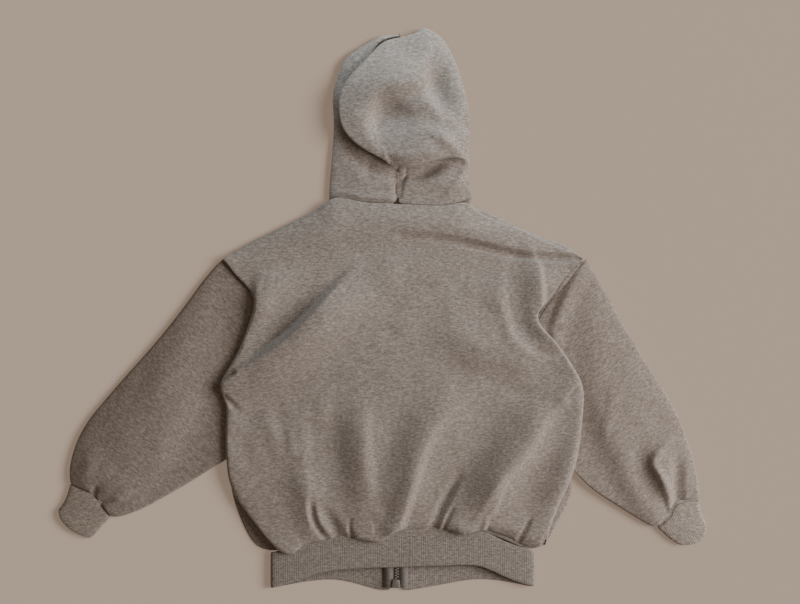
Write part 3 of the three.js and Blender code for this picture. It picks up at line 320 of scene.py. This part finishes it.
back = cut_piece("back_panel", "back_panel_cloth", fleece, finer=True)
shaped(back, [
    # under the shoulders, from the left armhole to the right one
    ((0.9, 2.2, 2.5), 28, 20, ((-172, 50.5), (-131.5, 57), (-89.5, 67), (-45.5, 78), (-1.5, 84.5), (42.5, 87),
                               (86.5, 82.5), (130.5, 73.5), (174.5, 64), (218.5, 59.5))),
    ((-1.5, -5, -4.5), 7, 7, ((20.5, 79), (58, 76), (97.5, 69.5), (132.5, 61.5), (163.5, 56), (216, 55))),
    # from the left armhole up to the middle, steep on its lower side
    ((5, 11.5, 0), 9, 50, ((-155.5, -69.5), (-137, -58.5), (-119.5, -46), (-99.5, -31), (-85, -16.5),
                           (-62, 7.5), (-39, 31), (-15, 55))),
    ((0, 1.5, 0), 36, 12, ((-89.5, -15.5), (-65.5, 9), (-41, 35), (-17, 61.5))),
    ((0, -2.4, 0), 7, 7, ((-161, -64), (-131.5, -45), (-107.5, -26.5), (-93, -11), (-76.5, 6.5))),
    ((0, 4, 1), 24, 8, ((-133.5, 48.5), (-135, 20), (-138, -9), (-149, -37.5))),
    ((0, 1.1, 0), 16, 22, ((-1.5, -17.5), (20.5, -15.5), (48, -15.5))),
    ((0, 1.2, 0), 16, 26, ((16, 64), (11.5, 31), (3, 2))),
    # towards the right underarm
    ((0, 2.7, 2.2), 26, 24, ((48, -38.5), (92, -51.5), (130.5, -64), (163.5, -76), (196.5, -93.5))),
    ((-0.8, -2.6, -2.4), 22, 12, ((143.5, 50.5), (140, 25.5), (142.5, 0), (151, -26.5), (168, -43),
                                  (194, -50.5))),
    ((2.5, 6, 4), 7, 27, ((170, 50.5), (174.5, 25.5), (175.5, 2), (184.5, -20), (193, -36.5))),
    # down the back, each steep to the right
    ((0, 4.7, 4.3), 11, 40, ((93, -93.5), (70, -115.5), (52.5, -139.5), (40, -169.5), (30.5, -200),
                             (19, -237.5))),
    ((2.5, 5.6, 3.7), 12, 44, ((197.5, -101), (177.5, -122), (164.5, -145), (148, -168.5), (127, -190.5),
                               (109.5, -215.5), (95, -240))),
    ((0.6, 3.1, 2.5), 11, 34, ((215, -112), (207.5, -156), (195.5, -200), (180, -242))),
    ((0, 3.6, 1.4), 15, 30, ((-19, -83.5), (-20.5, -134), (-18, -178), (-11.5, -224.5))),
    ((0, 2, 1.2), 14, 24, ((-83, -97), (-87.5, -141), (-84, -189), (-77.5, -233))),
    ((0, 2.4, 0), 14, 22, ((-131.5, -94.5), (-120.5, -134), (-109.5, -182.5))),
    ((0, 1.5, 0), 14, 18, ((-55.5, -88), (-63.5, -112), (-62, -141))),
    ((0, 1.2, 0), 12, 18, ((-142.5, -116.5), (-136, -152), (-122.5, -182.5))),
    ((0, 1.2, 0), 12, 18, ((-107.5, -110), (-100.5, -145), (-102, -182.5))),
    # gathers at the hem
    ((0.0, -4.5, -3.0), 7, 6, ((-75.5, -200), (-76.5, -220), (-71, -238.5), (-60, -253))),
    ((0.0, -5.0, -4.0), 8, 8, ((91, -169.5), (77.5, -197), (65.5, -219), (54.5, -245.5))),
    ((0.0, -2.5, -2.5), 4, 4, ((83, -213.5), (74, -227.5), (67.5, -243))),
    ((0.0, -2.5, -2.5), 4, 4, ((124, -219), (118.5, -232), (115, -244))),
    ((0.0, -2.5, -2.5), 5, 5, ((165.5, -224.5), (158, -240), (151, -253))),
    ((0.0, -2.0, -2.0), 4, 4, ((-32.5, -224.5), (-34.5, -240), (-32.5, -252))),
    ((-2.6, -2.0, 0.0), 5, 5, ((-171, -97), (-162, -105.5), (-153.5, -116.5))),
    ((0.0, 3.0, 3.5), 6, 22, ((47, -161.5), (37, -191.5), (28, -215.5), (18, -242))),
    ((0.0, 2.5, 3.5), 6, 18, ((144.5, -170.5), (131.5, -198), (121.5, -222), (113, -242))),
    ((-2.0, -4.0, -3.0), 12, 12, ((-61, -224.5), (-53.5, -237.5), (-45.5, -251))),
    ((0.0, -3.0, -2.0), 10, 5, ((-67.5, -256.5), (-52.5, -254), (-32.5, -251))),
    ((-2.0, -3.0, -1.0), 11, 5, ((20.5, -245.5), (48, -244), (75.5, -244))),
    ((-1.5, -3.0, -2.5), 12, 5, ((110.5, -244), (136, -251), (159, -262), (174.5, -267.5))),
], seed=1.0)

# Front panels: the same fleece, left and right, flat on the floor under the back. Only the strips that
# show past the shoulders and the lower sides are seen from above.
for side in ("left", "right"):
    piece = cut_piece(f"front_{side}", f"front_{side}_cloth", fleece, levels=1)

# Sleeves: the same fleece, one piece each, closed along the inner arm. They are wide and dropped from the
# shoulder, and are gathered into the cuffs.
SLEEVE_FOLDS = {
    "left": [
        ((0.0, 2.0, 0.0), 60, 30, ((-194, 9), (-221.5, -57), (-254.5, -123), (-287.5, -178))),
        ((-3.0, -3.0, 0.0), 5, 6, ((-318.5, -209), (-315, -201.5), (-311, -191.5))),
        ((-3.0, -2.0, 0.0), 5, 5, ((-312, -214.5), (-301, -211), (-285.5, -210))),
        ((0.0, 1.5, 0.0), 12, 14, ((-331.5, -200), (-320.5, -167), (-314, -145))),
        ((0.0, 1.2, 1.0), 12, 10, ((-265.5, -189), (-287.5, -205.5), (-303, -218))),
    ],
    "right": [
        ((2.0, 3.4, 2.4), 17, 9, ((221.5, 49.5), (209.5, 25.5), (198.5, 3.5), (191, -17.5), (188.5, -33))),
        ((-1.0, -2.0, -0.5), 6, 6, ((181, -22), (191, -22), (201, -15.5))),
        ((0.0, 1.2, 0.0), 14, 10, ((251.5, -73.5), (251.5, -106.5), (238, -156))),
        ((0.0, -2.4, -1.4), 15, 15, ((278, -141), (282, -172.5), (295.5, -202.5), (311, -218))),
        ((1.0, 4.0, 3.0), 8, 8, ((316, -145), (301, -160.5), (297.5, -171.5), (306.5, -186), (315, -207),
                                 (319.5, -222))),
        ((0.0, -2.6, -3.0), 12, 10, ((325, -149.5), (323, -183.5), (323, -214.5))),
        ((0.0, -1.4, 0.0), 18, 18, ((280, -97), (306.5, -121), (333, -138.5))),
    ],
}
for side, seed, lie in (("left", 3.0, 35.0), ("right", 4.0, -31.0)):
    sleeve_fleece = fleece_material(f"heathered_brushed_fleece_{side}", *FLEECE_YARNS, lie=lie)
    piece = cut_piece(f"sleeve_{side}", f"sleeve_{side}_cloth", sleeve_fleece, finer=True)
    shaped(piece, SLEEVE_FOLDS[side], seed=seed)

# Hood: two panels of the same fleece, sewn together over the crown, with a turned edge round the face.
# The crown has fallen to one side and folds over the nape.
HOOD_FOLDS = {
    "left": [
        ((-1.0, -2.0, 0.0), 10, 10, ((-10.5, 163), (-15, 149.5), (-12.5, 132))),
        ((-1.0, -5.0, -5.0), 7, 9, ((-40, 174), (-21.5, 159.5), (0.5, 150.5), (23.5, 149.5))),
        ((0.0, -3.0, -2.0), 9, 5, ((7, 154), (14, 143), (18, 125.5))),
        ((1.0, 1.5, 1.5), 5, 5, ((-56.5, 127.5), (-40, 126.5), (-21.5, 122), (11.5, 120))),
    ],
    "right": [
        # over the crown, from the left bulge up to the turned edge, and the dent below it
        ((0.0, 6.0, 3.0), 40, 16, ((-21.5, 198), (-6, 224.5), (18, 244), (42.5, 251), (56.5, 266),
                                   (61, 290.5))),
        ((0.0, -11.0, -3.0), 54, 15, ((16, 246.5), (3, 226.5), (-3, 204.5), (3, 178))),
        ((0.0, 1.6, 0.0), 16, 16, ((-32.5, 229), (-26, 209), (-15, 193.5))),
        # a hollow beside the turned edge, and two ridges that run out to it
        ((-2.0, -8.0, -2.0), 10, 22, ((77.5, 196), (63.5, 224.5), (54.5, 253), (60, 290.5))),
        ((0.0, 2.6, 2.0), 10, 12, ((29, 232), (48, 227.5), (65.5, 213.5), (89.5, 189))),
        ((0.0, 2.6, 2.0), 11, 8, ((26, 191.5), (53.5, 191.5), (71, 182.5), (93, 161.5))),
        ((1.0, 3.0, 1.0), 6, 6, ((93, 156), (87.5, 143), (74, 128.5))),
        # the lip, and the hollow under it
        ((0.5, 2.4, 1.5), 10, 8, ((-1.5, 172.5), (25, 164), (53.5, 171.5))),
        ((-3.0, -6.5, -2.0), 8, 13, ((16, 150.5), (29, 147.5), (42.5, 147.5), (58, 154), (73, 163))),
        ((0.0, -3.0, -2.0), 5, 9, ((31.5, 152), (23.5, 141), (19, 123))),
    ],
}
for side, seed in (("left", 5.0), ("right", 6.0)):
    piece = cut_piece(f"hood_{side}", f"hood_{side}_cloth", fleece)
    shaped(piece, HOOD_FOLDS[side], size=0.03, seed=seed)
light_only(bpy.data.objects["window_above"], "INCLUDE",
           [bpy.data.objects[f"{name}_cloth"]
            for name in ("back_panel", "front_left", "front_right", "hood_left", "hood_right")])

# Cuffs and hem band: rib knit of the same yarn, folded double in the real garment, a little smoother than
# the fleece, with fine ribs along the arm and upright round the hem.
RIB_PITCH = 0.0024
for side, angle in (("left", 35.0), ("right", -31.0)):
    cuff_rib = fleece_material(f"heathered_rib_knit_{side}", "#6f635b", "#938579", "#b3a79c", nap=0.8,
                               ribs=(angle, RIB_PITCH))
    piece = cut_piece(f"cuff_{side}", f"cuff_{side}_rib", cuff_rib)
rib = fleece_material("heathered_rib_knit", "#655b53", "#867a70", "#a4998f", nap=0.8, ribs=(0.0, RIB_PITCH))
band = cut_piece("hem_band", "hem_band_rib", rib)

# Zip tapes: woven polyester, dyed to match, flatter and closer than the fleece. Each is stitched along the
# free edge of its front panel and carries one row of the teeth.
tape_material = fleece_material("woven_polyester_tape", "#6b6158", "#7d736a", "#8f857b", nap=0.3)
for side in ("left", "right"):
    piece = cut_piece(f"zip_tape_{side}", f"zip_tape_{side}_woven", tape_material, levels=0)


# Seams: the panels are joined by overlocked seams whose allowances fill the groove between them, the
# back neck keeps the two short stitch lines of a small patch inside, and the tapes are topstitched.
RAY_START = 0.2  # well above every fold
RING = 10  # corners of a strip's cross-section
SPREAD = 0.62  # half the width of a strip, as a share of its groove, so that it reaches under both panels
BESIDE = (0.001, 0.0035)  # how far past the groove the height of a panel is measured
panels = {piece.name: piece for piece in bpy.data.objects
          if piece.name.endswith(("_cloth", "_rib", "_woven"))}


def height_at(x, y, names):
    """The highest point of the named pieces over one spot of the floor."""
    found = [0.0]
    for name in names:
        hit, place, _, _ = panels[name].ray_cast(Vector((x, y, RAY_START)), Vector((0, 0, -1)))
        if hit:
            found.append(place.z)
    return max(found)


def seam_filling(name, names, width, sink, points, deep=0.003):
    """A padded strip under a seam, a little lower than the lower of the two panels beside it."""
    line = drawn_line(points, step=0.003)
    ways = [(line[min(k + 1, len(line) - 1)] - line[max(k - 1, 0)]).normalized() for k in range(len(line))]
    heights = []
    for here, way in zip(line, ways):
        across = Vector((-way.y, way.x))
        sides = [[here + across * side * (width / 2 + far) for far in BESIDE] for side in (-1, 1)]
        heights.append(min(max(height_at(spot.x, spot.y, names) for spot in side) for side in sides) - sink)
    bm = bmesh.new()
    rings = []
    for k, (here, way) in enumerate(zip(line, ways)):
        near = heights[max(k - 2, 0):k + 3]
        middle = max(sum(near) / len(near), deep) - deep / 2
        across = Vector((-way.y, way.x)) * width * SPREAD
        section = Matrix(((across.x, 0, way.x, here.x), (across.y, 0, way.y, here.y),
                          (0, deep / 2, 0, middle), (0, 0, 0, 1)))
        ring = bmesh.ops.create_circle(bm, segments=RING, radius=1.0, cap_ends=k in (0, len(line) - 1),
                                       matrix=section @ Matrix.Rotation(-math.pi / 2, 4, "Z"))
        rings.append({edge for corner in ring["verts"] for edge in corner.link_edges})
    for one, other in zip(rings, rings[1:]):
        bmesh.ops.bridge_loops(bm, edges=[*one, *other])
    bmesh.ops.recalc_face_normals(bm, faces=bm.faces)
    mesh = bpy.data.meshes.new(name)
    bm.to_mesh(mesh)
    bm.free()
    mesh.materials.append(fleece)
    mesh.polygons.foreach_set("use_smooth", [True] * len(mesh.polygons))
    strip = bpy.data.objects.new(name, mesh)
    bpy.context.scene.collection.objects.link(strip)
    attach(strip, "garment")


for name, names, width, sink, points in (
        ("armhole_left_seam", ("back_panel_cloth", "sleeve_left_cloth"), 0.006, 0.0009, (
            (-176.5, 51.5), (-169, 43), (-160, 32.5), (-150, 22.5), (-142.5, 15))),
        ("armhole_right_seam", ("back_panel_cloth", "sleeve_right_cloth"), 0.006, 0.0009, (
            (217.5, 47), (205, 35), (197.5, 25.5), (190.5, 17), (181, 5), (174, -9), (171, -14.5))),
        ("hem_back_seam", ("back_panel_cloth", "hem_band_rib"), 0.006, 0.0004, (
            (-109.5, -266), (-102, -268), (-94, -266), (-87.5, -259.5), (-75.5, -257), (-65.5, -254.5),
            (-48, -253), (-32.5, -251.5), (-17, -254), (0.5, -255.5), (10.5, -249), (18, -243.5),
            (47, -243.5), (76.5, -243), (84, -246), (94, -248), (104, -245), (111.5, -242.5),
            (127, -247), (148, -256), (163, -263.5))),
        ("cuff_left_seam", ("sleeve_left_cloth", "cuff_left_rib"), 0.005, 0.0009, (
            (-340.5, -193.5), (-329.5, -198), (-317.5, -203.5), (-308.5, -213.5), (-303, -221),
            (-298, -228))),
        ("cuff_right_seam", ("sleeve_right_cloth", "cuff_right_rib"), 0.006, 0.0009, (
            (348.5, -208.5), (337, -211), (323.5, -214.5), (319, -219.5), (317, -228), (310, -234),
            (303.5, -240))),
        ("hood_crown_seam", ("hood_left_cloth", "hood_right_cloth"), 0.007, 0.0001, (
            (-46.5, 221), (-45.5, 231), (-41, 242.5), (-30, 257), (-17, 272), (-6, 286), (0.5, 292.8),
            (11, 295.3), (21, 297.3))),
        ("hood_nape_seam", ("hood_left_cloth", "hood_right_cloth"), 0.008, 0.0008, (
            (18.5, 113.5), (18.5, 120), (19, 130), (21, 139.5), (22.5, 148.5), (22.5, 157.5)))):
    seam_filling(name, names, width, sink, points)
# Spun polyester thread: a little darker than the cloth, with a dull sheen.
thread, tree = new_material("polyester_sewing_thread")
finish_material(tree, add_node(tree, "ShaderNodeBsdfPrincipled",
                               {"Base Color": linear("#70665e"), "Roughness": 0.6}))


def stitches(name, points, names, length=0.0026, gap=0.0007, thick=0.0005):
    """A row of short rounded stitches lying in the surface of the named pieces."""
    line = drawn_line(points, step=0.0005)
    bm = bmesh.new()
    run = 0.0
    start = line[0]
    for before, here in zip(line, line[1:]):
        run += (here - before).length
        if run < length:
            continue
        middle = (start + here) / 2
        height = height_at(middle.x, middle.y, names)
        turn = Matrix.Rotation(math.atan2(here.y - start.y, here.x - start.x), 4, "Z")
        spot = Matrix.Translation((middle.x, middle.y, height + thick * 0.1)) @ turn
        bmesh.ops.create_icosphere(bm, subdivisions=1, radius=0.5,
                                   matrix=spot @ Matrix.Diagonal((length * 1.05, thick, thick * 0.8, 1.0)))
        run = -gap
        start = here + (here - before).normalized() * gap
    mesh = bpy.data.meshes.new(name)
    bm.to_mesh(mesh)
    bm.free()
    mesh.materials.append(thread)
    mesh.polygons.foreach_set("use_smooth", [True] * len(mesh.polygons))
    row = bpy.data.objects.new(name, mesh)
    bpy.context.scene.collection.objects.link(row)
    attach(row, "garment")


ZIP_MIDDLE = 16  # millimetres, as all the lines here
TOPSTITCH = 15  # from the middle of the zip
stitches("patch_stitches_left", [(5, 117.5), (3.5, 110.5)], ("back_panel_cloth",))
stitches("patch_stitches_right", [(38, 116.5), (35, 108)], ("back_panel_cloth",))
for side, x in (("left", ZIP_MIDDLE - TOPSTITCH), ("right", ZIP_MIDDLE + TOPSTITCH)):
    stitches(f"zip_stitches_{side}", [(x, -304), (x, -120), (x, 62)], (f"front_{side}_cloth", "hem_band_rib"))


# Zip: moulded acetal teeth along both tapes, and two antiqued die-cast sliders with their tabs, with
# their edges slightly rounded.
TOOTH = (0.0036, 0.0012, 0.0024)  # length across the zip, width along it, and height
TOOTH_PITCH = 0.0015
TOOTH_SHIFT = 0.00092  # how far each row's teeth sit from the middle of the chain
TOOTH_ROUND = 0.00028
METAL_ROUND = 0.0002
WEAR = 0.00111  # size of the duller spots on the metal


def metal_material(name, colour, roughness):
    material, tree = new_material(name)
    place = add_node(tree, "ShaderNodeTexCoord").outputs["Object"]
    wear = add_node(tree, "ShaderNodeTexNoise", {"Scale": 1 / WEAR, "Detail": 3.0}, {"Vector": place})
    shine = add_node(tree, "ShaderNodeMapRange", {"To Min": roughness - 0.08, "To Max": roughness + 0.1},
                     {"Value": wear.outputs[0]})
    finish_material(tree, add_node(tree, "ShaderNodeBsdfPrincipled",
                                   {"Base Color": linear(colour), "Metallic": 0.8},
                                   {"Roughness": shine.outputs[0]}))
    return material


# Moulded acetal is smooth, with a soft highlight. The antiqued zinc is grey and half matt, with duller spots.
acetal, tree = new_material("moulded_acetal")
finish_material(tree, add_node(tree, "ShaderNodeBsdfPrincipled",
                               {"Base Color": linear("#7a7067"), "Roughness": 0.42}))
zinc = metal_material("antiqued_zinc_alloy", "#9a948c", 0.36)
chain = frame["nodes"]["zip_chain"]
chain_box = [chain.matrix_world @ Vector(corner) for corner in chain.bound_box]
chain_low, chain_high = chain_box[0], chain_box[6]
bm = bmesh.new()
for k in range(int((chain_high.y - chain_low.y) / TOOTH_PITCH)):
    side = 1 if k % 2 else -1
    middle = Vector(((chain_low.x + chain_high.x) / 2 + side * TOOTH_SHIFT,
                     chain_low.y + (k + 0.5) * TOOTH_PITCH, (chain_low.z + chain_high.z) / 2))
    bmesh.ops.create_cube(bm, size=1.0, matrix=Matrix.Translation(middle) @ Matrix.Diagonal((*TOOTH, 1.0)))
bmesh.ops.bevel(bm, geom=bm.edges[:], offset=TOOTH_ROUND, segments=2, affect="EDGES")
mesh = bpy.data.meshes.new("zip_teeth")
bm.to_mesh(mesh)
bm.free()
mesh.materials.append(acetal)
mesh.polygons.foreach_set("use_smooth", [True] * len(mesh.polygons))
teeth = bpy.data.objects.new("zip_teeth", mesh)
bpy.context.scene.collection.objects.link(teeth)
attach(teeth, "garment")
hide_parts("zip_chain")

for node, body in (("zip_slider_low", "garment"), ("zip_slider_high", "garment"),
                   ("zip_tab_low", "tab_low"), ("zip_tab_high", "tab_high")):
    bm = bmesh.new()
    bm.from_mesh(frame["nodes"][node].data)
    bmesh.ops.remove_doubles(bm, verts=bm.verts, dist=WELD)
    bmesh.ops.dissolve_limit(bm, angle_limit=math.radians(2), verts=bm.verts, edges=bm.edges)
    mesh = bpy.data.meshes.new(node + "_metal")
    bm.to_mesh(mesh)
    bm.free()
    mesh.materials.append(zinc)
    mesh.polygons.foreach_set("use_smooth", [True] * len(mesh.polygons))
    metal = bpy.data.objects.new(node + "_metal", mesh)
    bpy.context.scene.collection.objects.link(metal)
    rounded = metal.modifiers.new("edges", "BEVEL")
    rounded.width = METAL_ROUND
    rounded.segments = 2
    rounded.limit_method = "ANGLE"
    rounded.harden_normals = True
    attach(metal, body)
    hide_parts(node)
